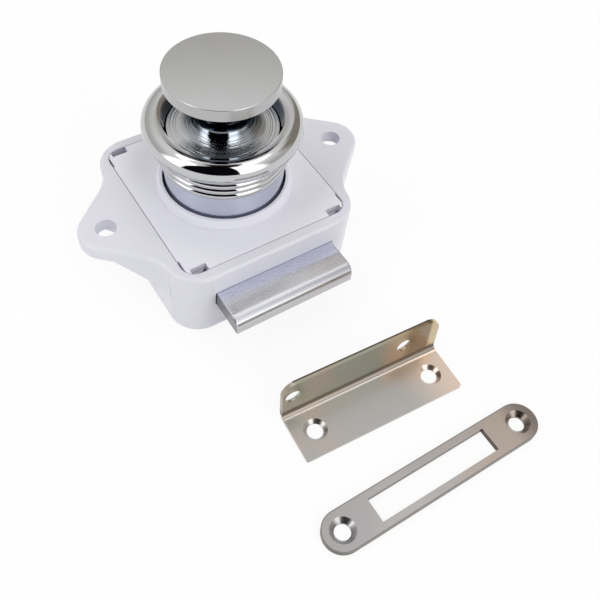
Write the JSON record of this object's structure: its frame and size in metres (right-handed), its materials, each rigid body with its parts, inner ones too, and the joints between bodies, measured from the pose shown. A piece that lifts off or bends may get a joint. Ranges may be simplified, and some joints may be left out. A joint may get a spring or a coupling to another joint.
{
  "type": "push-button latch",
  "caption": "Push-button latch: a chrome knob with collar on a white moulded case, a spring bolt that draws in when the knob is pressed, and an angle strike and a flat strike beside it.",
  "frame": {"origin": "on the knob's axis, level with the face of the case that lies against the door", "axes": "+X toward the right ear, +Y away from the bolt's nose, +Z along the knob's axis toward the knob"},
  "size_m": [0.0674, 0.0999, 0.0487],
  "materials": {
    "white_plastic": "smooth moulded gloss, faint lavender white",
    "chrome": "polished chrome, turned marks on the waist, satin top",
    "satin_nickel": "satin nickel with a bright rounded nose",
    "nickel_plate": "bright nickel plate, faintly warm, fine rolling marks",
    "black_plastic": "moulded, matt",
    "carrier_plastic": "moulded acetal, natural white",
    "spring_steel": "drawn wire",
    "zinc_steel": "zinc plated",
    "rivet_steel": "nickel plated, flush"
  },
  "bodies": {
    "housing": {"case": "white_plastic", "cover": "white_plastic", "collar": "chrome", "sleeve_nut": "black_plastic", "knob_spring": "spring_steel", "bolt_spring_right": "spring_steel", "bolt_spring_left": "spring_steel", "spring_pin_right": "zinc_steel", "spring_pin_left": "zinc_steel", "angle_strike": "nickel_plate", "flat_strike": "nickel_plate"},
    "button": {"knob": "chrome", "plunger": "black_plastic", "knob_screw": "zinc_steel", "cam_pin_right": "zinc_steel", "cam_pin_left": "zinc_steel"},
    "latch_bolt": {"bolt": "satin_nickel", "bolt_carrier": "carrier_plastic", "rivet_left": "rivet_steel", "rivet_right": "rivet_steel", "rivet_rear": "rivet_steel"}
  },
  "joints": [
    {"name": "knob_press", "type": "slide", "parent": "housing", "child": "button", "axis": [0, 0, -1], "range_m": [0, 0.0082], "stiffness_N_per_m": 400, "springref_m": -0.005, "deforming": ["knob_spring"]},
    {"name": "bolt_slide", "type": "slide", "parent": "housing", "child": "latch_bolt", "axis": [0, 1, 0], "range_m": [0, 0.0082], "stiffness_N_per_m": 300, "springref_m": -0.005, "deforming": ["bolt_spring_right", "bolt_spring_left"]}
  ],
  "couplings": [
    {"joint": "bolt_slide", "follows": "knob_press", "ratio": 1}
  ]
}
